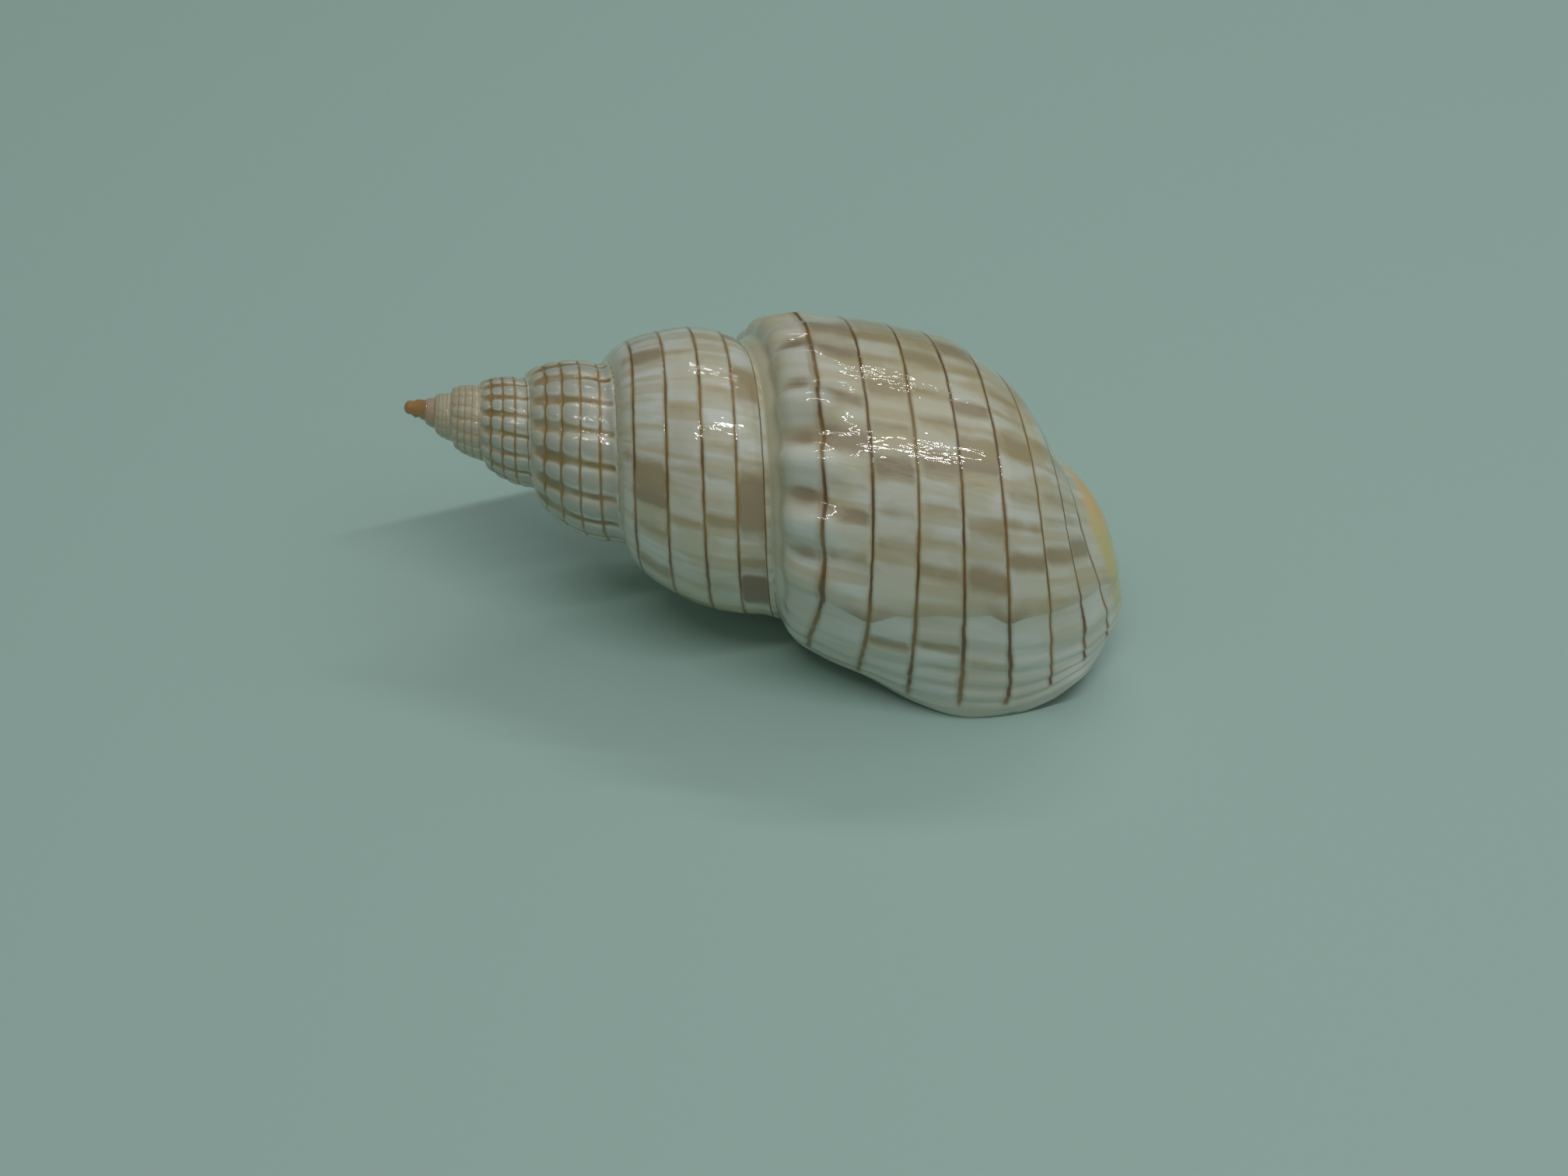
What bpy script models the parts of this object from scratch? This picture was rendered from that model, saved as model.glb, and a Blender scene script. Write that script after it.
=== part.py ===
"""Glans nassa shell, one solid, in metres, +Z up, resting aperture down on z = 0."""

import math

import bmesh
import bpy
from mathutils import Vector

# Sizes in millimetres. X is the distance along the shell's axis from the apex,
# R the distance from that axis, and t the turn: 0 on the side that faces -Y of the last whorl.

MM = 0.001
COLUMNS = 36
FIRST_TURN = -6.0
LIP_TURN = 1.0 / 6.0
CANAL_TURN = -20.0 / 36.0
HOLLOW_END_TURN = -101.0 / 36.0

# Growth of the whole shell in one turn, lengths measured from a point near the apex
SPIRAL_START = 0.35
LENGTH_GROWTH = 0.532
WIDTH_GROWTH = 0.43

# Rest pose
AXIS_TILT = 11.0
AXIS_ROLL = -4.1

# Outline of one whorl, from its suture towards the front, scaled to t = 0:
# (X, R on the first whorls, R on the whorl before the last, R on the last)
WHORL = (
    (18.7, 6.20, 6.95, 6.80),
    (19.3, 6.70, 8.20, 7.80),
    (21.0, 7.30, 9.45, 8.65),
    (23.2, 7.70, 10.4, 9.25),
    (25.6, 8.00, 11.15, 9.45),
    (28.1, 8.30, 11.35, 9.40),
    (30.4, 8.50, 11.1, 9.25),
)
WIDE_TURN = -1.3
LAST_WHORL_FROM = (-1.25, -0.35)
EARLY_WIDTH = 0.21
EARLY_TURNS = (-2.6, -4.6)

# Front half of the last whorl, from the next suture to the end of the canal, at seven turns: (X, R)
FRONT_TURNS = (-0.8333, -0.639, -0.5556, -0.364, -0.25, -0.136, 0.0)
FRONT = (
    ((20.4, 7.3), (22.7, 7.02), (23.7, 6.98), (26.1, 7.15), (28.0, 7.5), (29.9, 8.0), (32.1, 8.6)),
    ((21.4, 7.08), (23.5, 6.75), (24.7, 6.7), (26.9, 6.6), (28.7, 6.8), (30.7, 7.45), (33.0, 8.05)),
    ((23.4, 6.2), (24.7, 6.0), (25.8, 6.1), (27.6, 5.8), (29.4, 6.0), (31.5, 6.7), (33.8, 7.45)),
    ((25.2, 4.8), (26.2, 4.8), (27.2, 5.0), (28.9, 4.7), (30.55, 4.9), (32.7, 5.6), (35.0, 6.2)),
    ((27.4, 3.2), (28.2, 3.3), (29.2, 3.6), (30.4, 3.7), (32.0, 4.0), (33.9, 4.65), (35.7, 5.1)),
    ((31.1, 1.9), (31.4, 1.9), (31.7, 2.05), (32.1, 2.75), (33.1, 3.15), (34.65, 3.7), (36.0, 4.0)),
    ((35.3, 0.0), (35.3, 0.0), (35.3, 0.0), (34.6, 1.3), (33.5, 2.7), (34.4, 2.8), (35.4, 2.65)),
)
PILLAR_TIP = (35.3, 0.0)
PILLAR_TIP_RISE = 0.4

# The same face further back, where the next whorl covers it and it lines the hollow: (X, R) at three turns.
# Before these turns it follows the growth of the whole shell.
INNER_TURNS = (-1.8056, -1.5556, -1.1)
INNER = (
    ((13.0, 4.8), (14.7, 5.3), (18.6, 6.4)),
    ((14.2, 4.1), (16.0, 4.6), (20.4, 5.5)),
    ((16.5, 2.8), (19.0, 3.0), (22.5, 4.1)),
    ((20.0, 1.7), (24.5, 1.7), (26.3, 2.4)),
    ((23.5, 1.1), (30.5, 1.1), (31.0, 1.5)),
)
HOLLOW_CORNER_TURNS = (-0.8056, -0.7, -0.639, -0.5833, -0.5556)
HOLLOW_CORNER = ((26.0, 0.95), (28.5, 1.0), (30.5, 0.9), (33.0, 0.65), (35.3, 0.0))

# Edge of the lip, nodes 1 to 13: (X, R, angle past the front)
LIP = (
    (21.2, 8.1, 56.0),
    (22.6, 8.74, 50.7),
    (24.6, 9.37, 43.2),
    (27.0, 10.3, 38.3),
    (29.2, 10.75, 35.5),
    (31.6, 10.36, 34.0),
    (33.4, 9.5, 29.5),
    (34.4, 8.75, 24.0),
    (35.2, 7.75, 26.5),
    (36.05, 5.95, 28.0),
    (36.25, 5.2, 24.5),
    (36.3, 4.7, 25.0),
    (36.4, 4.3, 29.0),
)

# Tip of the first whorl: (X, R)
TIP = ((0.22, 0.32), (0.0, 0.0))

# Walls
LIP_WALL = 0.65
DEEP_WALL = 1.0
DEEP_FROM = -0.3
SPIRE_WALL_GROWTH = 0.9
SPIRE_WALL_FROM = -0.5
PILLAR_NODE = 10
PILLAR_WALL = 0.7

# Ribs and nodules, and the turns over which they start and stop
RIBS_A_TURN = 18
RIB_HEIGHT = 0.14
RIB_TURN = -1.9
RIBS_START = (-5.2, -4.6)
RIBS_STOP = (-1.75, -1.45)
NODULE_HEIGHT = 0.26
NODULE_SHARES = (0.0, 1.0, 0.8, 0.3, 0.1, 0.0, 0.0)
NODULES_START = (-0.85, -0.5)
NODULES_STOP = (-0.16, 0.02)

# Nodes of the outline, and how close two points are the same, in metres and in turns
SUTURE = 7
LAST = 13
SAME_PLACE = 2e-6
SAME_TURN = 1e-6


def smooth(a, b, x):
    f = min(max((x - a) / (b - a), 0.0), 1.0)
    return f * f * (3.0 - 2.0 * f)


def curve(turns, values, t):
    """Cubic through the given values."""
    if t <= turns[0]:
        return values[0]
    if t >= turns[-1]:
        return values[-1]
    i = max(k for k in range(len(turns) - 1) if turns[k] <= t)

    def slope(k):
        if k == 0 or k == len(turns) - 1:
            a, b = (0, 1) if k == 0 else (k - 1, k)
            return (values[b] - values[a]) / (turns[b] - turns[a])
        left = (values[k] - values[k - 1]) / (turns[k] - turns[k - 1])
        right = (values[k + 1] - values[k]) / (turns[k + 1] - turns[k])
        wide = turns[k + 1] - turns[k - 1]
        return (left * (turns[k + 1] - turns[k]) + right * (turns[k] - turns[k - 1])) / wide

    step = turns[i + 1] - turns[i]
    f = (t - turns[i]) / step
    m0 = slope(i) * step
    m1 = slope(i + 1) * step
    f2 = f * f
    f3 = f2 * f
    a = values[i] * (2 * f3 - 3 * f2 + 1) + m0 * (f3 - 2 * f2 + f)
    return a + values[i + 1] * (3 * f2 - 2 * f3) + m1 * (f3 - f2)


def relief(t, node):
    """Height of the ribs of the spire and the nodules of the last whorl."""
    wave = math.cos(2.0 * math.pi * RIBS_A_TURN * t)
    if node in (0, SUTURE):
        return 0.0
    ribs = RIB_HEIGHT * math.exp(WIDTH_GROWTH * (t - RIB_TURN))
    ribs *= smooth(*RIBS_START, t) * (1.0 - smooth(*RIBS_STOP, t))
    share = NODULE_SHARES[node] if node < SUTURE else 0.0
    nodules = NODULE_HEIGHT * share * smooth(*NODULES_START, t) * (1.0 - smooth(*NODULES_STOP, t))
    return wave * (ribs + nodules)


def grown(x, r, turns):
    """Where the growth of the whole shell takes a point."""
    along = SPIRAL_START + (x - SPIRAL_START) * math.exp(LENGTH_GROWTH * turns)
    return along, r * math.exp(WIDTH_GROWTH * turns)


def whorl_point(t, node):
    """X and R of a node of the whorl's back half."""
    if node == SUTURE:
        t += 1.0
        node = 0
    x, first, wide, last = WHORL[node]
    share = min((t - FIRST_TURN) / (WIDE_TURN - FIRST_TURN), 1.0) ** 2
    r = first + (wide - first) * share
    r += (last - wide) * smooth(*LAST_WHORL_FROM, t)
    r *= 1.0 + EARLY_WIDTH * smooth(*EARLY_TURNS, t)
    x, r = grown(x, r, t)
    return x, r + relief(t, node)


def through(turns, points, t):
    """The point that a smooth curve through the given ones has at a turn."""
    if t < turns[0]:
        return grown(*points[0], t - turns[0])
    return curve(turns, [p[0] for p in points], t), curve(turns, [p[1] for p in points], t)


def hollow_corner(t):
    """Front end of the hollow's inner wall: the pillar's tip, once the canal is open."""
    if t >= CANAL_TURN - SAME_TURN:
        return PILLAR_TIP
    return through(HOLLOW_CORNER_TURNS, HOLLOW_CORNER, t)


def front_point(t, node):
    """X and R of a node of the whorl's front half."""
    if node == SUTURE and t <= FRONT_TURNS[0] + SAME_TURN:
        return whorl_point(t, SUTURE)
    if node == LAST and t <= CANAL_TURN + SAME_TURN:
        return hollow_corner(t + 1.0)
    turns = FRONT_TURNS
    points = FRONT[node - SUTURE]
    if SUTURE < node < LAST:
        turns = INNER_TURNS + turns
        points = INNER[node - SUTURE - 1] + points
    return through(turns, points, t)


def outer(t, node):
    """X, R and angle of a node of the outer face. Past the front the columns lean into the lip."""
    if node == 0:
        x, r = whorl_point(t, 0)
        return x, r, 2.0 * math.pi * t
    near = whorl_point if node < SUTURE else front_point
    if t <= 0.0:
        x, r = near(t, node)
        return x, r, 2.0 * math.pi * t
    share = t / LIP_TURN
    x, r = near(0.0, node)
    lip_x, lip_r, angle = LIP[node - 1]
    return x + (lip_x - x) * share, r + (lip_r - r) * share, math.radians(angle) * share


def inner(t, node):
    """X, R and angle of a node of the hollow's outer wall."""
    if node == 0:
        x, r = front_point(t - 1.0, SUTURE + 1)
        return x, r, 2.0 * math.pi * t
    if node == LAST and t > CANAL_TURN - SAME_TURN:
        return outer(t, LAST)
    if t < CANAL_TURN - SAME_TURN and node > PILLAR_NODE:
        x, r = inner_offset(t, PILLAR_NODE)[:2]
        corner_x, corner_r = hollow_corner(t)
        share = (node - PILLAR_NODE) / (LAST - PILLAR_NODE)
        return x + (corner_x - x) * share, r + (corner_r - r) * share, 2.0 * math.pi * t
    return inner_offset(t, node)


def inner_offset(t, node):
    """The outer face moved in by the wall."""
    x, r, angle = outer(t, node)
    before = outer(t, node - 1)
    after = outer(t, node + 1)
    along = Vector((after[0] - before[0], after[1] - before[1])).normalized()
    wall = LIP_WALL + (DEEP_WALL - LIP_WALL) * smooth(LIP_TURN, DEEP_FROM, t)
    wall *= math.exp(SPIRE_WALL_GROWTH * min(t - SPIRE_WALL_FROM, 0.0))
    if node > PILLAR_NODE:
        wall *= PILLAR_WALL
    return x + along.y * wall, r - along.x * wall - relief(t, node), angle


def place(x, r, angle):
    """A point in the resting shell's frame, in metres."""
    tilt = math.radians(AXIS_TILT)
    turned = angle + math.radians(AXIS_ROLL)
    forward = r * math.cos(turned)
    up = -r * math.sin(turned)
    across = x * math.cos(tilt) + up * math.sin(tilt)
    height = up * math.cos(tilt) - x * math.sin(tilt)
    return Vector((across, -forward, height)) * MM


def measure_angle(point):
    """Angle round the axis of a placed point."""
    tilt = math.radians(AXIS_TILT)
    up = point.x * math.sin(tilt) + point.z * math.cos(tilt)
    return math.atan2(-up, -point.y) - math.radians(AXIS_ROLL)


def sheet(mesh, first_turn, last_turn, nodes, shape):
    """A flat grid of columns and nodes, wrapped round the axis by the given shape."""
    columns = round((last_turn - first_turn) * COLUMNS)
    count = len(nodes)
    made = bmesh.ops.create_grid(mesh, x_segments=columns, y_segments=count - 1, size=1.0)
    for vertex in made["verts"]:
        column = round((vertex.co.x + 1.0) / 2.0 * columns)
        node = nodes[round((vertex.co.y + 1.0) / 2.0 * (count - 1))]
        vertex.co = place(*shape(first_turn + column / COLUMNS, node))


def lip_band(mesh):
    """The narrow face between the two edges of the lip."""
    made = bmesh.ops.create_grid(mesh, x_segments=LAST, y_segments=1, size=1.0)
    for vertex in made["verts"]:
        node = round((vertex.co.x + 1.0) / 2.0 * LAST)
        shape = outer if vertex.co.y < 0.0 else inner
        vertex.co = place(*shape(LIP_TURN, node))


def back_wall(mesh):
    """The end of the hollow, a disc whose rim and middle are moved to the hollow's outline."""
    t = HOLLOW_END_TURN
    ring = [place(*inner(t, node)) for node in range(LAST + 1)]
    for node in range(LAST - 1, SUTURE + 1, -1):
        x, r = front_point(t - 1.0, node)
        ring.append(place(x, r, 2.0 * math.pi * t))
    disc = bmesh.ops.create_circle(mesh, cap_ends=True, cap_tris=True, radius=1.0, segments=len(ring))
    middle = min(disc["verts"], key=lambda v: v.co.length)
    rim = [v for v in disc["verts"] if v is not middle]
    rim.sort(key=lambda v: math.atan2(v.co.y, v.co.x) % (2.0 * math.pi))
    middle.co = sum(ring, Vector()) / len(ring)
    for vertex, point in zip(rim, ring):
        vertex.co = point


def inner_face(t, node):
    """X, R and angle of a node of the hollow's inner wall."""
    x, r = front_point(t, node)
    return x, r, 2.0 * math.pi * t


def build():
    mesh = bmesh.new()

    # Outer face: the whole spiral, then the front half of the last turn
    sheet(mesh, FIRST_TURN, LIP_TURN, tuple(range(SUTURE + 1)), outer)
    sheet(mesh, LIP_TURN - 1.0, LIP_TURN, tuple(range(SUTURE, LAST + 1)), outer)

    # Hollow: the wall round the columella, the wall under the outer face, and the end
    sheet(mesh, HOLLOW_END_TURN - 1.0, LIP_TURN - 1.0, tuple(range(SUTURE + 1, LAST + 1)), inner_face)
    sheet(mesh, HOLLOW_END_TURN, LIP_TURN, tuple(range(LAST + 1)), inner)
    back_wall(mesh)
    lip_band(mesh)
    bmesh.ops.remove_doubles(mesh, verts=mesh.verts, dist=SAME_PLACE)
    pillar_tip = place(*PILLAR_TIP, 0.0)
    lifted = [v for v in mesh.verts if (v.co - pillar_tip).length < SAME_PLACE]
    bmesh.ops.translate(mesh, verts=lifted, vec=Vector((0.0, 0.0, PILLAR_TIP_RISE * MM)))

    # Rounded tip of the spire: one ring further out, then a point
    rim = [e for e in mesh.edges if e.is_boundary]
    extruded = bmesh.ops.extrude_edge_only(mesh, edges=rim)["geom"]
    for vertex in extruded:
        if isinstance(vertex, bmesh.types.BMVert):
            vertex.co = place(*TIP[0], measure_angle(vertex.co))
    rim = [e for e in extruded if isinstance(e, bmesh.types.BMEdge)]
    extruded = bmesh.ops.extrude_edge_only(mesh, edges=rim)["geom"]
    tip = [g for g in extruded if isinstance(g, bmesh.types.BMVert)]
    bmesh.ops.pointmerge(mesh, verts=tip, merge_co=place(*TIP[1], 0.0))

    bmesh.ops.recalc_face_normals(mesh, faces=mesh.faces)
    for face in mesh.faces:
        face.smooth = True
    low = Vector([min(v.co[i] for v in mesh.verts) for i in range(3)])
    high = Vector([max(v.co[i] for v in mesh.verts) for i in range(3)])
    middle = (low + high) / 2.0
    middle.z = low.z
    bmesh.ops.translate(mesh, verts=mesh.verts, vec=-middle)
    return mesh


def main():
    for old in list(bpy.data.objects):
        bpy.data.objects.remove(old)
    collection = bpy.data.collections.new("glans_nassa_shell")
    bpy.context.scene.collection.children.link(collection)

    made = build()
    data = bpy.data.meshes.new("shell")
    made.to_mesh(data)
    print(len(data.vertices), "vertices", sum(len(p.vertices) - 2 for p in data.polygons), "triangles")
    made.free()
    shell = bpy.data.objects.new("shell", data)
    collection.objects.link(shell)

    glaze = bpy.data.materials.new("shell_wall")
    glaze.use_nodes = True
    base = glaze.node_tree.nodes["Principled BSDF"]
    base.inputs["Base Color"].default_value = (0.78, 0.74, 0.66, 1.0)
    base.inputs["Roughness"].default_value = 0.25
    data.materials.append(glaze)


main()
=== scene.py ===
# %% [markdown]
# # A glans nassa shell
# The shell of a sea snail lies on its aperture, with the pointed spire to the left. One solid from the CAD
# model says where it is and how big it is. This lesson builds the fine surface over it: the ribs, the
# nodules, the growth ridges, the toothed lip and the glazed hollow, and then the brown lines and blotches
# of its colour.

# %% Load the solid shell
import math

import bmesh
import bpy
import numpy as np
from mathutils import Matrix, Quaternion, Vector


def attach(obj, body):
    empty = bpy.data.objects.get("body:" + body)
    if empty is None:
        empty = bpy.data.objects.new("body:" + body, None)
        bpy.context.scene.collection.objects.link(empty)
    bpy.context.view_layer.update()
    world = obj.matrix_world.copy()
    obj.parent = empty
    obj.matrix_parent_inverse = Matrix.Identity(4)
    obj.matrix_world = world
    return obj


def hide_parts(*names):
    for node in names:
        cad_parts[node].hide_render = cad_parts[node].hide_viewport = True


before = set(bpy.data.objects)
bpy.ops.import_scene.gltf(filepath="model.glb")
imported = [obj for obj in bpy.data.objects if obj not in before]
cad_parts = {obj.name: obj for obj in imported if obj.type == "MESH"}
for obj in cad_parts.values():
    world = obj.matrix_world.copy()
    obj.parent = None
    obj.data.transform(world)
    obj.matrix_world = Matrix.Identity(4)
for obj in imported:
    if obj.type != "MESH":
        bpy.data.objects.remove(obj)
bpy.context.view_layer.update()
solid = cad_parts["shell"]

# %% [markdown]
# ## Where the shell's own axis lies
# A snail shell winds round a straight axis, so every point on it is easiest to give by three numbers: the
# distance along that axis from the tip of the spire, the distance out from it, and the angle round it. The
# resting shell's axis dips 11 degrees towards the canal, and the whole shell is rolled a little onto its
# lip. The tip is the solid's furthest point back along the axis, so it is found there and not written down
# a second time.

# %% Turn axis measures into places
MM = 0.001
AXIS_DIP = math.radians(11.0)
AXIS_ROLL = math.radians(-4.1)
FORWARD = Vector((math.cos(AXIS_DIP), 0.0, -math.sin(AXIS_DIP)))
UPWARD = Vector((math.sin(AXIS_DIP), 0.0, math.cos(AXIS_DIP)))
tip_place = min((v.co for v in solid.data.vertices), key=FORWARD.dot).copy()


def place(along, out, angle):
    """Points for arrays of distance along the axis, distance out and angle."""
    turned = angle + AXIS_ROLL
    up = -out * np.sin(turned)
    across = along * FORWARD.x + up * UPWARD.x
    height = along * FORWARD.z + up * UPWARD.z
    return np.stack((across, -out * np.cos(turned), height), -1) * MM + np.array(tip_place)


print("tip of the spire at", tuple(round(c, 5) for c in tip_place))

# %% [markdown]
# ## The law of growth
# A snail adds to the edge of its shell as it turns, and each turn is a larger copy of the one before. So
# the whole spiral needs only one outline and two growth rates. Point 0 of the outline is the suture, where
# a whorl meets the one before it, and point 7 is where the next whorl covers it. The last whorl is narrower
# than the growth alone gives, as on the real shell, where the animal stops growing.
#
# Each row is an outline point, in millimetres: the distance along the axis, then the distance out for the
# first, the widest and the last whorl. The growth rates are for one turn, as powers of e. Turn 0 is the
# front of the last whorl, and earlier turns are negative.

# %% Outline of a whorl
WHORL = (
    (18.7, 6.20, 6.95, 6.80),
    (19.3, 6.70, 8.20, 7.80),
    (21.0, 7.30, 9.45, 8.65),
    (23.2, 7.70, 10.4, 9.25),
    (25.6, 8.00, 11.15, 9.45),
    (28.1, 8.30, 11.35, 9.40),
    (30.4, 8.50, 11.1, 9.25),
)
FIRST_TURN = -7.0
NARROW_TURN = -6.0
LIP_TURN = 1.0 / 6.0
SPIRAL_START = 0.35
LENGTH_GROWTH = 0.532
WIDTH_GROWTH = 0.43
WIDE_TURN = -1.3
EARLY_WIDTH = 0.21
EARLY_TURNS = (-2.6, -4.6)
LAST_WIDTH_TURNS = (-1.25, -0.35)
NEXT_SUTURE = 7
LAST = 13


def smooth(start, end, value):
    share = np.clip((value - start) / (end - start), 0.0, 1.0)
    return share * share * (3.0 - 2.0 * share)


def grown(along, out, turns):
    longer = SPIRAL_START + (along - SPIRAL_START) * math.exp(LENGTH_GROWTH * turns)
    return longer, out * math.exp(WIDTH_GROWTH * turns)


def whorl_point(turn, node):
    """Distance along the axis and out from it, for an outline point at a turn."""
    if node == NEXT_SUTURE:
        turn, node = turn + 1.0, 0
    along, first, wide, last = WHORL[node]
    share = min(max((turn - NARROW_TURN) / (WIDE_TURN - NARROW_TURN), 0.0), 1.0) ** 2
    out = first + (wide - first) * share
    out += (last - wide) * float(smooth(*LAST_WIDTH_TURNS, turn))
    out *= 1.0 + EARLY_WIDTH * float(smooth(*EARLY_TURNS, turn))
    return grown(along, out, turn)


WIDEST = 4
print("last whorl is", round(2 * whorl_point(0.0, WIDEST)[1], 1), "mm wide")

# %% [markdown]
# ## The front of the last whorl
# In front of the widest part the whorl draws in to the columella, a pillar that the whole shell winds
# round, and opens into a canal for the siphon. That part doesn't repeat, so it is given by a few outlines
# on the way round, with a smooth curve through them. Each row is one outline point, from 7 to 13, with its
# distances along and out at each of the seven turns.

# %% Outlines of the front
FRONT_TURNS = (-0.8333, -0.639, -0.5556, -0.364, -0.25, -0.136, 0.0)
FRONT = (
    ((20.4, 7.3), (22.7, 7.02), (23.7, 6.98), (26.2, 7.25), (28.1, 7.7), (29.95, 8.05), (32.1, 8.6)),
    ((21.4, 7.08), (23.5, 6.75), (24.7, 6.7), (27.15, 6.85), (29.1, 7.2), (30.85, 7.6), (33.0, 8.05)),
    ((23.4, 6.2), (24.7, 6.0), (25.8, 6.1), (27.9, 6.05), (29.85, 6.4), (31.65, 6.8), (33.8, 7.45)),
    ((25.2, 4.8), (26.2, 4.8), (27.2, 5.0), (29.0, 4.8), (30.75, 5.05), (32.7, 5.6), (35.0, 6.2)),
    ((27.4, 3.2), (28.2, 3.3), (29.2, 3.6), (30.4, 3.65), (31.9, 3.8), (33.85, 4.6), (35.7, 5.1)),
    ((31.1, 1.9), (31.4, 1.9), (31.7, 2.05), (32.1, 2.7), (33.0, 2.95), (34.5, 3.5), (36.0, 4.0)),
    ((35.3, 0.0), (35.3, 0.0), (35.3, 0.0), (34.6, 1.3), (33.5, 2.7), (34.4, 2.8), (35.4, 2.65)),
)
CANAL_TURN = -5.0 / 9.0
SAME_TURN = 1e-4
PILLAR_TIP = (35.3, 0.0)


def through(turns, points, turn):
    """The point of a smooth curve through the given ones.

    Before the first point it follows the growth of the shell.
    """
    if turn < turns[0]:
        return grown(*points[0], turn - turns[0])
    if turn >= turns[-1]:
        return points[-1]
    i = max(k for k in range(len(turns) - 1) if turns[k] <= turn)
    near = np.array(points[max(i - 1, 0) : i + 3])
    at = np.array(turns[max(i - 1, 0) : i + 3])
    pace = np.diff(near, axis=0) / np.diff(at)[:, None]
    first = 1 if i else 0
    gap = at[first + 1] - at[first]

    def slope(k):
        if k == 0 or k == len(at) - 1:
            return pace[min(k, len(pace) - 1)]
        before, after = at[k] - at[k - 1], at[k + 1] - at[k]
        return (pace[k - 1] * after + pace[k] * before) / (before + after)

    f = (turn - at[first]) / gap
    start, end = near[first], near[first + 1]
    bend = slope(first) * gap * (f - 2 * f**2 + f**3) + slope(first + 1) * gap * (f**3 - f**2)
    return tuple(start + (end - start) * (3 * f**2 - 2 * f**3) + bend)


# %% [markdown]
# ## The hollow and the pillar
# The next whorl covers the front of the one before it, and that covered face lines the hollow. Seen through
# the aperture it is the parietal wall and the columella. These outlines carry the front further back into
# the shell.

# %% Outlines inside the shell
INNER_TURNS = (-1.8056, -1.5556, -1.1)
INNER = (
    ((13.0, 4.8), (14.7, 5.3), (18.6, 6.4)),
    ((14.2, 4.1), (16.0, 4.6), (20.4, 5.5)),
    ((16.5, 2.8), (19.0, 3.0), (22.5, 4.1)),
    ((20.0, 1.7), (24.5, 1.7), (26.3, 2.4)),
    ((23.5, 1.1), (30.5, 1.1), (31.0, 1.5)),
)
CORNER_TURNS = (-0.8056, -0.7, -0.639, -0.5833, -0.5556)
CORNER = ((26.0, 0.95), (28.5, 1.0), (30.5, 0.9), (33.0, 0.65), (35.3, 0.0))


def hollow_corner(turn):
    return PILLAR_TIP if turn >= CANAL_TURN - SAME_TURN else through(CORNER_TURNS, CORNER, turn)


def front_point(turn, node):
    if node == NEXT_SUTURE and turn <= FRONT_TURNS[0] + SAME_TURN:
        return whorl_point(turn, NEXT_SUTURE)
    if node == LAST and turn <= CANAL_TURN + SAME_TURN:
        return hollow_corner(turn + 1.0)
    turns, points = FRONT_TURNS, FRONT[node - NEXT_SUTURE]
    if NEXT_SUTURE < node < LAST:
        turns, points = INNER_TURNS + turns, INNER[node - NEXT_SUTURE - 1] + points
    return through(turns, points, turn)


# %% [markdown]
# ## The flared lip
# Past the front, the growing edge swings round into the flared lip, which isn't a straight cut but a curve
# in space. Each outline point gets its own place on that edge, as distance along, distance out and angle in
# degrees, and the columns lean over smoothly until the last one is the edge itself. The hollow's outer wall
# is the same surface moved in by the wall, which thins towards the lip.

# %% Edge of the lip
LIP = (
    (21.2, 8.1, 56.0),
    (22.6, 8.74, 50.7),
    (24.6, 9.37, 43.2),
    (27.0, 10.3, 38.3),
    (29.2, 10.75, 35.5),
    (31.6, 10.36, 34.0),
    (33.4, 9.5, 29.5),
    (34.4, 8.75, 24.0),
    (35.2, 7.75, 26.5),
    (36.05, 5.95, 28.0),
    (36.25, 5.2, 24.5),
    (36.3, 4.7, 25.0),
    (36.4, 4.3, 29.0),
)
SMALL_TURN = 0.01


def outer_point(turn, node):
    """Distance along, distance out and angle of an outline point on the outer face."""
    near = whorl_point if node < NEXT_SUTURE else front_point
    if turn <= 0.0 or node == 0:
        return np.array((*near(turn, node), 2.0 * math.pi * turn))
    start = np.array((*near(0.0, node), 0.0))
    before = np.array((*near(-SMALL_TURN, node), -2.0 * math.pi * SMALL_TURN))
    along, out, degrees = LIP[node - 1]
    reach = np.array((along, out, math.radians(degrees))) - start
    pace = (start - before) / SMALL_TURN * LIP_TURN
    share = turn / LIP_TURN
    return start + reach * share + (pace - reach) * share * (1.0 - share) ** 2


WALL_AT_LIP = 0.32
WALL_NEAR_LIP = 0.65
WALL_INSIDE = 1.0
FULL_WALL_TURN = -0.3
THIN_WALL_TURN = 0.09
THINNER_IN_CANAL = 0.7
CANAL_NODE = 10
CANAL_SHAPED_FROM = -0.62


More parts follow.
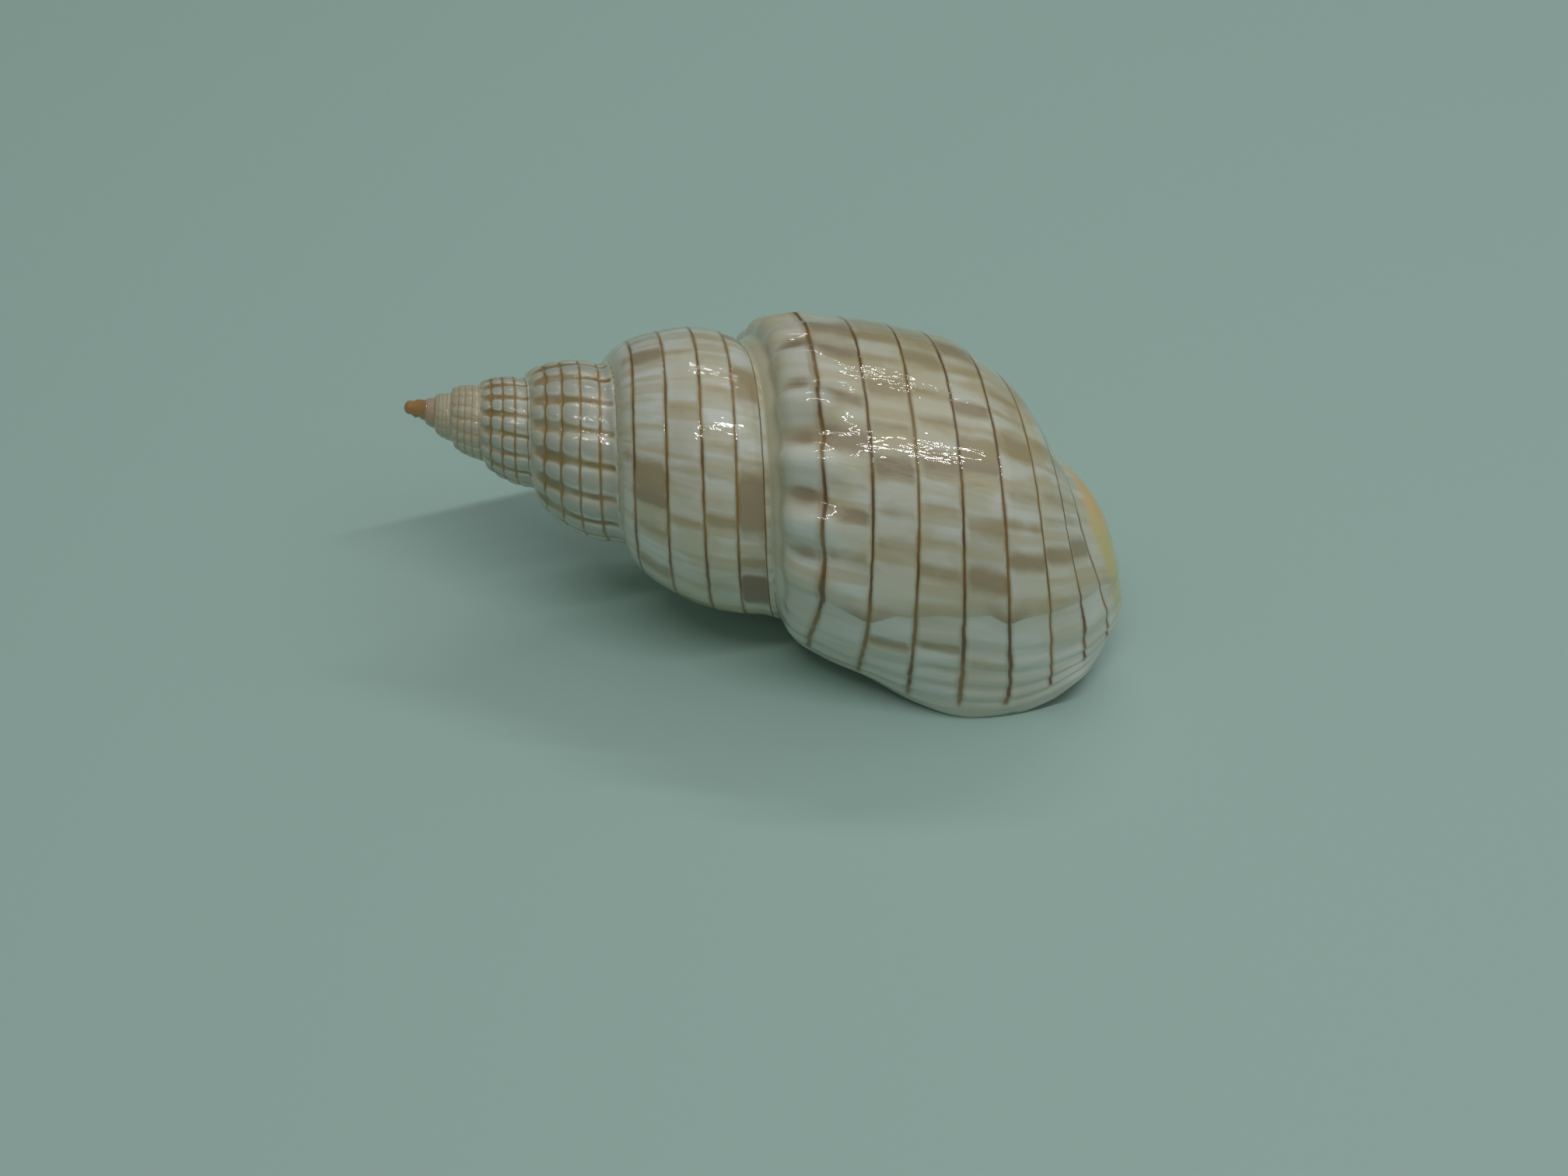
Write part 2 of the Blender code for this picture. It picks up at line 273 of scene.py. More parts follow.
def wall_point(turn, node):
    """The same for the hollow's outer wall, which is the outer face moved in by the wall."""
    if node == 0:
        return np.array((*front_point(turn - 1.0, NEXT_SUTURE + 1), 2.0 * math.pi * turn))
    if node == LAST:
        if turn >= CANAL_TURN - SAME_TURN:
            return outer_point(turn, LAST)
        return np.array((*hollow_corner(turn), 2.0 * math.pi * turn))
    along, out, angle = outer_point(turn, node)
    step = (outer_point(turn, node + 1) - outer_point(turn, node - 1))[:2]
    step /= np.hypot(*step)
    wall = WALL_NEAR_LIP + (WALL_INSIDE - WALL_NEAR_LIP) * float(smooth(LIP_TURN, FULL_WALL_TURN, turn))
    wall += (WALL_AT_LIP - WALL_NEAR_LIP) * float(smooth(THIN_WALL_TURN, LIP_TURN, turn))
    wall *= THINNER_IN_CANAL if node > CANAL_NODE else 1.0
    point = np.array((along + step[1] * wall, out - step[0] * wall, angle))
    if node > CANAL_NODE and turn < CANAL_TURN:
        corner = np.array((*hollow_corner(turn), angle))
        straight = wall_point(turn, CANAL_NODE)
        straight = straight + (corner - straight) * (node - CANAL_NODE) / (LAST - CANAL_NODE)
        point = straight + (point - straight) * float(smooth(CANAL_SHAPED_FROM, CANAL_TURN, turn))
    return point


def inner_face_point(turn, node):
    return np.array((*front_point(turn, node), 2.0 * math.pi * turn))


# %% [markdown]
# ## From points to a smooth outline
# The outline has fourteen points, which would show as corners. A cubic through them, spaced by their real
# distances, gives as many steps between two points as the surface needs.

# %% Smooth curve across a whorl
STEPS = 6


def outline(points, positions):
    """Points of the smooth outline at positions counted in outline points."""
    gap = np.maximum(np.hypot(*np.diff(points[:, :2], axis=0).T), 1e-6)
    pace = np.diff(points, axis=0) / gap[:, None]
    middle = (pace[:-1] * gap[1:, None] + pace[1:] * gap[:-1, None]) / (gap[:-1] + gap[1:])[:, None]
    slope = np.vstack((pace[:1], middle, pace[-1:]))
    i = np.clip(positions.astype(int), 0, len(gap) - 1)
    f = (positions - i)[:, None]
    h = gap[i][:, None]
    bend = slope[i] * h * (f - 2 * f**2 + f**3) + slope[i + 1] * h * (f**3 - f**2)
    return points[i] + (points[i + 1] - points[i]) * (3 * f**2 - 2 * f**3) + bend


# %% [markdown]
# ## Where the brown lines run
# Eight brown lines run round the shell, and nearly everything else keeps to them: beads are cut by them,
# blotches stop at them, and growth pauses are scalloped between them. Their places drift a little from
# whorl to whorl, so each line has a few places, counted in outline points, and every point of the surface
# gets a line count: 1 on the first line, 1.5 halfway to the second.

# %% Places of the lines
LINE_TURNS = (-3.1, -2.1, -1.15, -0.95, -0.3, -0.2, -0.1, 0.0, 0.08, 0.15)
LINE_PLACES = (
    (2.20, 1.95, 1.49, 1.64, 2.24, 2.18, 2.23, 2.15, 1.68, 1.52),
    (3.50, 3.05, 2.82, 3.00, 3.31, 3.20, 3.20, 3.12, 2.93, 2.84),
    (4.80, 4.20, 4.06, 4.30, 4.35, 4.17, 4.14, 4.02, 3.93, 3.88),
    (6.40, 5.38, 5.26, 5.35, 5.22, 5.09, 5.02, 4.95, 4.96, 5.00),
    (7.50, 7.20, 6.62, 6.62, 6.15, 5.97, 5.92, 5.90, 5.96, 5.93),
    (8.20, 8.00, 7.60, 7.60, 7.50, 7.22, 7.05, 7.15, 7.10, 6.98),
    (9.20, 9.20, 9.20, 9.20, 9.20, 8.85, 8.72, 9.15, 8.98, 8.85),
    (10.2, 10.2, 10.2, 10.2, 10.2, 9.90, 9.67, 10.14, 9.95, 9.90),
)
LINE_ENDS = (0.122, 0.142, 0.150, 0.136, 0.132, 0.112, 0.100, 0.085)


def line_count(turn, position):
    """Position across the whorl counted in brown lines."""
    places = [np.interp(turn, LINE_TURNS, row) for row in LINE_PLACES]
    return np.interp(position, (0.0, *places, LAST), (0, 1, 2, 3, 4, 5, 6, 7, 8, 10))


# %% [markdown]
# ## Ribs, beads and nodules
# The early whorls have about seventeen white ribs a turn, cut into beads by the brown lines. The next whorl
# is smooth. The last one has a row of knobs below its suture, each at its own angle, and past its front the
# surface is ruffled by growth ridges that run along the lip. All of them are heights added to the outline,
# at right angles to it.

# %% Heights of the relief
RIBS_A_TURN = 16.7
RIB_START = 0.89
RIB_HEIGHT = 0.19
RIB_HEIGHT_TURN = -1.9
RIBS_START = (-5.3, -4.8)
RIBS_STOP = (-1.5, -1.85)
NODULE_TURNS = (
    -0.69, -0.63, -0.573, -0.518, -0.463, -0.413, -0.368, -0.323, -0.278, -0.230, -0.177, -0.122, -0.070, -0.020
)
NODULE_SIZES = (0.3, 0.3, 0.35, 0.35, 0.35, 0.35, 0.4, 0.45, 0.5, 0.68, 1.0, 1.05, 0.95, 0.45)
NODULE_HEIGHT = 0.85
STEEP_SIDE = 0.013
LONG_SIDE = 0.024
FURROW_DEPTH = 0.22
FURROW_AT = 0.75
KEEL_HEIGHT = 0.16
KEEL_AT = 11.0
KEEL_GROOVE_AT = 10.2


def rib_wave(turn, position):
    lean = 0.01 * (position - 3.5)
    wave = 0.5 + 0.5 * np.cos(2.0 * math.pi * (RIBS_A_TURN * turn + RIB_START + lean))
    return wave ** (0.7 - 0.25 * smooth(2.0, 3.5, position)) - 0.6


def ribs(turn, position):
    """Height of the ribs and beads of the early whorls, as a share of the full height."""
    length = smooth(0.0, 0.8, position) * smooth(7.0, 6.4, position)
    count = line_count(turn, position)
    groove = sum(np.exp(-(((count - line) / 0.16) ** 2)) for line in (1, 2, 3, 4, 5))
    deep = 0.3 + 0.7 * smooth(3.2, 1.8, count)
    rib = rib_wave(turn, position) * (1.0 - 0.35 * groove) * (0.75 + 0.45 * deep) - 0.35 * groove * deep
    return rib * length * smooth(*RIBS_START, turn) * smooth(*RIBS_STOP, turn)


def nodules(turn, position):
    """Height of the knobs of the last whorl, as a share. Their older side is the steep one."""
    across = smooth(0.6, 1.5, position) * smooth(3.1, 2.0, position)
    knobs = 0.0
    for at, size in zip(NODULE_TURNS, NODULE_SIZES):
        later = turn - at + 0.004 * (position - 1.9)
        knobs = knobs + size * np.exp(-((later / np.where(later < 0.0, STEEP_SIDE, LONG_SIDE)) ** 2))
    return knobs * across


REST_COUNTS = (1.0, 1.6, 2.0, 2.3, 2.6, 3.0, 3.5, 4.0, 4.6, 4.85, 5.0, 5.3, 6.0, 8.0)
REST_TURNS = (
    0.0, 0.006, 0.011, 0.003, -0.004, -0.006, -0.012, -0.013, -0.019, -0.014, -0.012, -0.018, -0.021, -0.03
)
REST_STEP = 0.09
RIDGES = 5.0
RIDGE_HEIGHT = 0.05


def since_rest(turn, count):
    """Turns grown since the scalloped line where growth once stopped."""
    return turn - np.interp(count, REST_COUNTS, REST_TURNS)


def growth_ridges(turn, position):
    """Height in millimetres of the step at the rest line and of the ridges along the lip."""
    count = line_count(turn, position)
    later = since_rest(turn, count)
    step = REST_STEP * smooth(0.006, -0.003, later) * smooth(-0.05, -0.006, later)
    phase = turn * RIDGES * 2.0 * math.pi / LIP_TURN
    ruffle = np.sin(phase + 0.9 * np.sin(1.3 * position)) * smooth(0.0, 0.04, later) * smooth(0.165, 0.15, turn)
    return (step + RIDGE_HEIGHT * ruffle) * smooth(0.2, 1.0, position) * smooth(12.8, 11.5, position)


def relief(turn, position):
    ribbed = RIB_HEIGHT * math.exp(WIDTH_GROWTH * (turn - RIB_HEIGHT_TURN)) * ribs(turn, position)
    furrow = np.exp(-(((position - FURROW_AT) / 0.35) ** 2)) * smooth(-0.7, -0.4, turn) * smooth(0.1, 0.0, turn)
    keel = np.exp(-(((position - KEEL_AT) / 0.45) ** 2))
    keel = keel - 0.8 * np.exp(-(((position - KEEL_GROOVE_AT) / 0.35) ** 2))
    keel = keel * smooth(-0.6, -0.35, turn) * smooth(0.02, -0.06, turn)
    height = ribbed + NODULE_HEIGHT * nodules(turn, position) + growth_ridges(turn, position)
    return height - FURROW_DEPTH * furrow + KEEL_HEIGHT * keel


# %% [markdown]
# ## Teeth on the lip
# The edge of the lip is scalloped: five small pointed teeth with shallow arcs between them. They push the
# edge further along its own direction of growth, and the push fades out a little way back from the edge.

# %% Scallops of the edge
TEETH = (6 + 1 / 6, 7 + 1 / 3, 9 + 1 / 3, 10 + 1 / 6, 12 + 5 / 6)
TOOTH_HEIGHT = 0.42
TOOTH_WIDTH = 0.3
TEETH_FROM = 0.135


def edge_push(turn, position):
    """How far the lip's edge is pushed on, in millimetres."""
    scallop = sum(np.exp(-np.abs(position - tooth) / TOOTH_WIDTH) for tooth in TEETH)
    toothed = float(smooth(TEETH_FROM, LIP_TURN, turn)) * smooth(0.5, 2.0, position)
    return (TOOTH_HEIGHT * scallop - 0.06) * toothed


def outer_section(turn, positions):
    """The outer face's outline at a turn, relief included."""
    points = np.array([outer_point(turn, node) for node in range(LAST + 1)])
    line = outline(points, positions)
    tangent = outline(points, positions + 0.02) - outline(points, positions - 0.02)
    length = np.maximum(np.hypot(tangent[:, 0], tangent[:, 1]), 1e-9)
    height = relief(turn, positions)
    line[:, 0] -= height * tangent[:, 1] / length
    line[:, 1] += height * tangent[:, 0] / length
    line[:, 2] += edge_push(turn, positions) / np.maximum(line[:, 1], 1.0)
    return line


def wall_section(turn, positions):
    points = np.array([wall_point(turn, node) for node in range(LAST + 1)])
    line = outline(points, positions)
    line[:, 2] += edge_push(turn, positions) / np.maximum(line[:, 1], 1.0)
    return line


def inner_face_section(turn, positions):
    points = np.array([inner_face_point(turn, node) for node in range(NEXT_SUTURE, LAST + 1)])
    return outline(points, positions - NEXT_SUTURE)


# %% [markdown]
# ## Where the blotches lie
# The snail paints at its growing edge, so a blotch is a short bar along that edge, and most bars stop at
# the brown lines. On the side that was photographed each blotch has its own place: the turn, the line that
# it follows, its half length in turns, its strength, and its shade from yellow tan, 0, to grey brown, 1.
# Band 0 holds the spots between the knobs, which are partly brown spots of the shell and partly painted
# shadow that the knobs cast into the gaps. On the far side nothing is known, so there they are spread at
# random, but the same each run.

# %% Blotches of the shell
BLOTCHES = [
    (-0.082, 1, 0.0056, 0.55, 0.9), (-0.046, 1, 0.0061, 0.35, 0.6), (-0.279, 1, 0.0179, 0.5, 0.8),
    (-0.235, 1, 0.0089, 0.5, 0.9), (-0.181, 1, 0.0065, 0.55, 0.9), (-0.144, 1, 0.0104, 0.65, 0.9),
    (-0.107, 1, 0.0038, 0.25, 0.6), (-0.090, 2, 0.0050, 0.3, 0.4), (-0.064, 2, 0.0050, 0.35, 0.5),
    (0.033, 2, 0.0063, 0.5, 0.8), (-0.298, 2, 0.0245, 0.4, 0.4), (-0.266, 2, 0.0081, 0.45, 0.4),
    (-0.231, 2, 0.0053, 0.35, 0.4), (-0.198, 2, 0.0102, 0.5, 0.5), (-0.160, 2, 0.0056, 0.4, 0.5),
    (-0.127, 2, 0.0090, 0.55, 0.9), (-0.098, 3, 0.0062, 0.3, 0.4), (-0.071, 3, 0.0038, 0.3, 0.4),
    (-0.047, 3, 0.0077, 0.4, 0.5), (0.025, 3, 0.0060, 0.45, 0.8), (0.057, 3, 0.0089, 0.2, 0.5),
    (-0.291, 3, 0.0249, 0.4, 0.4), (-0.242, 3, 0.0111, 0.5, 0.5), (-0.199, 3, 0.0060, 0.4, 0.4),
    (-0.173, 3, 0.0052, 0.4, 0.5), (-0.136, 3, 0.0092, 0.55, 0.8), (-0.090, 4, 0.0087, 0.45, 0.4),
    (-0.047, 4, 0.0097, 0.6, 0.7), (0.044, 4, 0.0095, 0.2, 0.4), (-0.271, 4, 0.0158, 0.55, 0.8),
    (-0.235, 4, 0.0069, 0.4, 0.2), (-0.191, 4, 0.0066, 0.6, 0.8), (-0.174, 4, 0.0030, 0.4, 0.1),
    (-0.153, 4, 0.0097, 0.75, 0.4), (-0.138, 4, 0.0047, 0.55, 0.9), (-0.217, 5, 0.0069, 0.4, 0.3),
    (-0.194, 5, 0.0042, 0.35, 0.3), (-0.164, 5, 0.0106, 0.65, 0.4), (-0.120, 5, 0.0055, 0.4, 0.4),
    (-0.096, 5, 0.0052, 0.45, 0.4), (-0.066, 5, 0.0078, 0.6, 0.7), (-0.237, 6, 0.0162, 0.35, 0.3),
    (-0.178, 6, 0.0083, 0.4, 0.3), (-0.157, 6, 0.0035, 0.35, 0.3), (-0.126, 6, 0.0061, 0.35, 0.3),
    (-0.104, 6, 0.0044, 0.35, 0.4), (-0.073, 6, 0.0072, 0.6, 0.6), (-0.173, 7, 0.0072, 0.4, 0.3),
    (-0.128, 7, 0.0036, 0.3, 0.4), (-0.108, 7, 0.0050, 0.4, 0.4), (-0.079, 7, 0.0089, 0.65, 0.8),
    # These band 0 spots lie between the knobs, partly brown and partly painted shadow of the knobs.
    (-0.247, 0, 0.0100, 0.8, 1.2), (-0.195, 0, 0.0090, 0.75, 1.2), (-0.140, 0, 0.0070, 0.8, 1.1),
    (-0.091, 0, 0.0070, 1.0, 1.1), (-0.040, 0, 0.0060, 0.9, 0.9),
    (-1.246, 1, 0.0157, 0.6, 0.8), (-1.074, 1, 0.0163, 0.7, 0.6), (-1.045, 1, 0.0091, 0.55, 1.0),
    (-1.006, 1, 0.0091, 0.4, 0.4), (-0.940, 1, 0.0150, 0.5, 0.8), (-1.244, 2, 0.0062, 0.35, 0.2),
    (-1.162, 2, 0.0067, 0.35, 0.1), (-1.089, 2, 0.0068, 0.3, 0.2), (-1.032, 2, 0.0067, 0.45, 0.3),
    (-1.187, 3, 0.0071, 0.4, 0.2), (-1.123, 3, 0.0058, 0.3, 0.2), (-1.090, 3, 0.0049, 0.3, 0.2),
    (-1.042, 3, 0.0079, 0.55, 0.5), (-0.954, 3, 0.0103, 0.3, 0.5), (-1.202, 4, 0.0232, 0.7, 0.6),
    (-1.064, 4, 0.0273, 0.95, 0.8), (-0.997, 4, 0.0075, 0.45, 0.5), (-0.952, 4, 0.0210, 1.0, 1.45),
    (-1.205, 5, 0.0089, 0.35, 0.3), (-1.094, 5, 0.0071, 0.3, 0.3), (-1.094, 0, 0.0098, 0.6, 0.6),
    (-1.251, 0, 0.0159, 0.45, 0.5),
]
FAR_SIDES = ((-1.85, -1.29, 5), (-0.90, -0.34, 8))
SEEN_FROM = -0.28
chance = np.random.default_rng(5)
for start, end, bands in FAR_SIDES:
    for band in range(1, bands):
        at = start + 0.03 * chance.random()
        while at < end:
            half, strong = chance.uniform(0.005, 0.014), chance.uniform(0.3, 0.7)
            BLOTCHES.append((at, band, half, strong, chance.uniform(0.2, 0.9)))
            at += chance.uniform(0.03, 0.06)
# Spots between the knobs on the far side, partly brown and partly painted shadow of the knobs.
for before, after in zip(NODULE_TURNS, NODULE_TURNS[1:]):
    if after < SEEN_FROM:
        BLOTCHES.append(((before + after) / 2.0, 0, 0.008, 0.8, chance.uniform(0.5, 1.5)))


def stains_and_knob_shadow(turn, count):
    """Strength and shade of the blotches. Band 0 is partly painted shadow between the knobs."""
    strength = np.zeros(len(count))
    shade = np.zeros(len(count))
    for at, band, half, strong, grey in BLOTCHES:
        if abs(turn - at) < 3.0 * half:
            bar = smooth(band - 0.04, band + 0.12, count) * smooth(band + 1.04, band + 0.9, count)
            # Band 0 is a spot between two knobs, partly brown and partly painted shadow of the knobs.
            if band == 0:
                bar = 0.65 * np.exp(-(((count - 0.76 + 6.0 * (turn - at)) / 0.22) ** 2))
            bar = bar * strong * math.exp(-(((turn - at) / (1.15 * half)) ** 2))
            strength += bar
            shade += bar * grey
    return strength, shade / np.maximum(strength, 1e-6)


def line_drawn(turn, count):
    """1 where the brown lines are drawn. Each ends a little before the lip."""
    end = np.interp(count, range(1, 9), LINE_ENDS)
    return smooth(end + 0.003, end - 0.006, turn) * smooth(0.7, 0.8, count) * smooth(8.4, 8.3, count)


print(len(BLOTCHES), "blotches")

# %% [markdown]
# ## Sheets wrapped round the axis
# The surface could be swept by a spin, but a spin can't change its outline on the way. So each part starts
# as a flat grid from bmesh, with a column for each small step round and a row for each step across, and the
# law of growth moves every vertex to its place. Before that the grid's own turn and position are kept in a
# map called growth, so that the colours can follow the lines of the shell.

# %% Make one sheet
COLUMNS = 180
shell_mesh = bmesh.new()
growth_map = shell_mesh.loops.layers.uv.new("growth")
glaze_layer = shell_mesh.verts.layers.float.new("glaze")
crest_layer = shell_mesh.verts.layers.float.new("crest")
stain_and_knob_shadow_layer = shell_mesh.verts.layers.float.new("stain_and_knob_shadow")
shade_layer = shell_mesh.verts.layers.float.new("shade")
rest_layer = shell_mesh.verts.layers.float.new("rest")
drawn_layer = shell_mesh.verts.layers.float.new("drawn")


def sheet(first_turn, last_turn, first_node, last_node, section, glaze):
    """Adds a wrapped grid to the shell. glaze gives how far a point is coated by the smooth inner glaze."""
    columns = round((last_turn - first_turn) * COLUMNS)
    rows = (last_node - first_node) * STEPS
    had = len(shell_mesh.faces)
    made = bmesh.ops.create_grid(shell_mesh, x_segments=columns, y_segments=rows, size=1.0)
    positions = first_node + np.arange(rows + 1) / STEPS
    turns = first_turn + np.arange(columns + 1) / COLUMNS
    places = [place(*section(turn, positions).T) for turn in turns]
    counts = [line_count(turn, positions) for turn in turns]
    coats = [glaze(turn, positions) for turn in turns]
    crests = [ribs(turn, positions) + nodules(turn, positions) for turn in turns]
    marks = [stains_and_knob_shadow(turn, count) for turn, count in zip(turns, counts)]
    ends = [line_drawn(turn, count) for turn, count in zip(turns, counts)]
    rests = [since_rest(turn, count) for turn, count in zip(turns, counts)]
    where = {}
    for vertex in made["verts"]:
        column = round((vertex.co.x + 1.0) / 2.0 * columns)
        row = round((vertex.co.y + 1.0) / 2.0 * rows)
        vertex.co = places[column][row]
        vertex[glaze_layer] = coats[column][row]
        vertex[rest_layer] = rests[column][row]
        if section is outer_section:
            vertex[crest_layer] = crests[column][row]
            vertex[stain_and_knob_shadow_layer] = marks[column][0][row]
            vertex[shade_layer] = marks[column][1][row]
            vertex[drawn_layer] = ends[column][row]
        where[vertex] = (turns[column], counts[column][row])
    shell_mesh.faces.ensure_lookup_table()
    for face in shell_mesh.faces[had:]:
        for corner in face.loops:
            corner[growth_map].uv = where[corner.vert]
    print(section.__name__, columns, "columns", rows, "rows")


# %% [markdown]
# ## The outer face
# It takes two sheets. The first runs the whole spiral, from the suture to where the next whorl covers it.
# The second is the front half of the last whorl, which nothing covers. A smooth cream glaze lies over the
# part beside the aperture, where the snail's body rubbed.

# %% Wrap the outer face
HOLLOW_END = -235 / COLUMNS
CALLUS_TURNS = (-0.70, -0.81)


def bare(turn, positions):
    return np.zeros(len(positions))


def callus(turn, positions):
    """Glaze beside the aperture and along the pillar."""
    beside = float(smooth(*CALLUS_TURNS, turn)) * smooth(7.0, 8.0, positions)
    pillar = smooth(12.2, 13.0, positions)
    return np.maximum(beside, pillar)


sheet(FIRST_TURN, LIP_TURN, 0, NEXT_SUTURE, outer_section, bare)
sheet(LIP_TURN - 1.0, LIP_TURN, NEXT_SUTURE, LAST, outer_section, callus)

# %% [markdown]
# ## The hollow
# The hollow has an inner side, which is the covered face of the whorl before, and an outer side under the
# outer face. It is modelled for a turn and a half, past anything that shows through the aperture.

# %% Wrap the hollow


def coated(turn, positions):
    return np.ones(len(positions))


sheet(HOLLOW_END - 1.0, LIP_TURN - 1.0, NEXT_SUTURE + 1, LAST, inner_face_section, coated)
sheet(HOLLOW_END, LIP_TURN, 0, LAST, wall_section, coated)

# %% [markdown]
# ## The thin edge of the lip
# Outer face and hollow meet in a narrow rounded band. It is one more grid, laid between the two edges and
# bulged along the direction of growth. Its first rung is the start of the parietal wall, so it takes that
# curve.

# %% Wrap the lip's edge
EDGE_BULGE = 0.12
band_rows = LAST * STEPS
positions = np.arange(band_rows + 1) / STEPS
outside = outer_section(LIP_TURN, positions)
inside = wall_section(LIP_TURN, positions)
joint = outer_section(LIP_TURN - 1.0, NEXT_SUTURE + np.arange(STEPS + 1) / STEPS)
joint[:, 2] += 2.0 * math.pi
had = len(shell_mesh.faces)
made = bmesh.ops.create_grid(shell_mesh, x_segments=band_rows, y_segments=STEPS, size=1.0)
where = {}
for vertex in made["verts"]:
    row = round((vertex.co.x + 1.0) / 2.0 * band_rows)
    step = round((vertex.co.y + 1.0) / 2.0 * STEPS)
    share = step / STEPS
    point = outside[row] + (inside[row] - outside[row]) * share
    straight = outside[0] + (inside[0] - outside[0]) * share
    point = point + (joint[step] - straight) * float(smooth(0.7, 0.0, positions[row]))
    bulge = EDGE_BULGE * math.sin(math.pi * share) * float(smooth(0.0, 1.5, positions[row]))
    point[2] += bulge / max(point[1], 1.0)
    vertex.co = place(*point)
    vertex[glaze_layer] = share
    vertex[rest_layer] = LIP_TURN
    where[vertex] = (LIP_TURN, line_count(LIP_TURN, positions[row]))
shell_mesh.faces.ensure_lookup_table()
for face in shell_mesh.faces[had:]:
    for corner in face.loops:
        corner[growth_map].uv = where[corner.vert]
print("edge of the lip", band_rows, "rows")

# %% [markdown]
# ## Weld, close and round off
# The sheets meet point for point, so merging doubles makes one closed skin. Two holes are left: the end of
# the hollow, which is filled, and the very tip of the spire, which is drawn in ring by ring to a small
# rounded knob, the shell that the snail hatched with.

# %% Close the shell
WELD = 2e-6
NEAR_TIP = 2 * MM
NUB = ((0.62, 0.47), (0.46, 0.37), (0.36, 0.34), (0.22, 0.34), (0.1, 0.27), (0.03, 0.15))
bmesh.ops.remove_doubles(shell_mesh, verts=shell_mesh.verts, dist=WELD)
open_edges = [e for e in shell_mesh.edges if e.is_boundary]
wrapped = set(shell_mesh.faces)
tip_edges = [e for e in open_edges if (e.verts[0].co - tip_place).length < NEAR_TIP]
end_edges = [e for e in open_edges if e not in set(tip_edges)]
print(len(tip_edges), "open edges at the tip", len(end_edges), "at the end of the hollow")
filled = bmesh.ops.edgeloop_fill(shell_mesh, edges=end_edges)["faces"]
bmesh.ops.triangulate(shell_mesh, faces=filled, ngon_method="EAR_CLIP")
for along, out in NUB:
    grown_edges = bmesh.ops.extrude_edge_only(shell_mesh, edges=tip_edges)["geom"]
    ring = [g for g in grown_edges if isinstance(g, bmesh.types.BMVert)]
    for vertex in ring:
        aside = vertex.co - tip_place
        aside -= FORWARD * aside.dot(FORWARD)
        vertex.co = tip_place + (FORWARD * along + aside.normalized() * out) * MM
    tip_edges = [g for g in grown_edges if isinstance(g, bmesh.types.BMEdge)]
grown_edges = bmesh.ops.extrude_edge_only(shell_mesh, edges=tip_edges)["geom"]
last_ring = [g for g in grown_edges if isinstance(g, bmesh.types.BMVert)]
bmesh.ops.pointmerge(shell_mesh, verts=last_ring, merge_co=tip_place)
for face in set(shell_mesh.faces) - wrapped:
    if (face.calc_center_median() - tip_place).length < NEAR_TIP:
        for corner in face.loops:
            corner[growth_map].uv = (FIRST_TURN - 1.0, 0.5)
for vertex in shell_mesh.verts:
    vertex.co.z = max(vertex.co.z, 0.0)
bmesh.ops.recalc_face_normals(shell_mesh, faces=shell_mesh.faces)
for face in shell_mesh.faces:
    face.smooth = True
print(sum(1 for e in shell_mesh.edges if not e.is_manifold), "edges that aren't closed")

# %% [markdown]
# ## Make it an object
# The finished piece keeps its place in its mesh, rides on the part's only body and stands for the solid.

# %% Link the shell
shell_data = bpy.data.meshes.new("nassa_shell")
shell_mesh.to_mesh(shell_data)
shell_mesh.free()
shell = bpy.data.objects.new("nassa_shell", shell_data)
bpy.context.scene.collection.objects.link(shell)
print(len(shell_data.vertices), "vertices", sum(len(p.vertices) - 2 for p in shell_data.polygons), "triangles")

# %% [markdown]
# ## Colours of the shell
# Shell is a hard glossy lime. The snail lays its colours at the growing edge, so every pattern is read in
# two measures: the turn, along the growth, and the position across the whorl. A few small helpers keep the
# node trees readable.

# %% Helpers for node trees
shell_material = bpy.data.materials.new("nassa_shell")
shell_material.use_nodes = True
tree = shell_material.node_tree
tree.nodes.clear()


def add(kind, **settings):
    made = tree.nodes.new(kind)
    for name, value in settings.items():
        setattr(made, name, value)
    return made


def feed(socket, value):
    if isinstance(value, bpy.types.NodeSocket):
        tree.links.new(value, socket)
    else:
        socket.default_value = value


def calc(operation, *values, clamp=False):
    made = add("ShaderNodeMath", operation=operation, use_clamp=clamp)
    for socket, value in zip(made.inputs, values):
        feed(socket, value)
    return made.outputs[0]


def ramp(value, low, high, from_value=0.0, to_value=1.0):
    """A smooth step from low to high."""
    made = add("ShaderNodeMapRange", interpolation_type="SMOOTHSTEP")
    for socket, given in zip(made.inputs, (value, low, high, from_value, to_value)):
        feed(socket, given)
    return made.outputs[0]


def blend(factor, first, second):
    made = add("ShaderNodeMix", data_type="RGBA")
    feed(made.inputs[0], factor)
    feed(made.inputs[6], first)
    feed(made.inputs[7], second)
    return made.outputs[2]


def noise(turn_scale, position_scale, seed, detail=2.0):
    """Noise stretched along the growth or across it."""
    spot = add("ShaderNodeCombineXYZ")
    feed(spot.inputs[0], calc("MULTIPLY", turn, turn_scale))
    feed(spot.inputs[1], calc("MULTIPLY", position, position_scale))
    spot.inputs[2].default_value = seed
    made = add("ShaderNodeTexNoise")
    feed(made.inputs["Vector"], spot.outputs[0])
    made.inputs["Scale"].default_value = 1.0
    made.inputs["Detail"].default_value = detail
    return made.outputs["Fac"]


growth = add("ShaderNodeUVMap", uv_map="growth")
measures = add("ShaderNodeSeparateXYZ")
feed(measures.inputs[0], growth.outputs[0])
turn, position = measures.outputs[0], measures.outputs[1]


def kept(name):
    """A measure that was kept on the mesh."""
    return add("ShaderNodeAttribute", attribute_name=name).outputs["Fac"]


coat, crest, stain_and_knob_shadow, shade = kept("glaze"), kept("crest"), kept("stain_and_knob_shadow"), kept("shade")
rest, drawn = kept("rest"), kept("drawn")
early = ramp(turn, -1.5, -1.9)
last_whorl = ramp(turn, -0.98, -0.9)

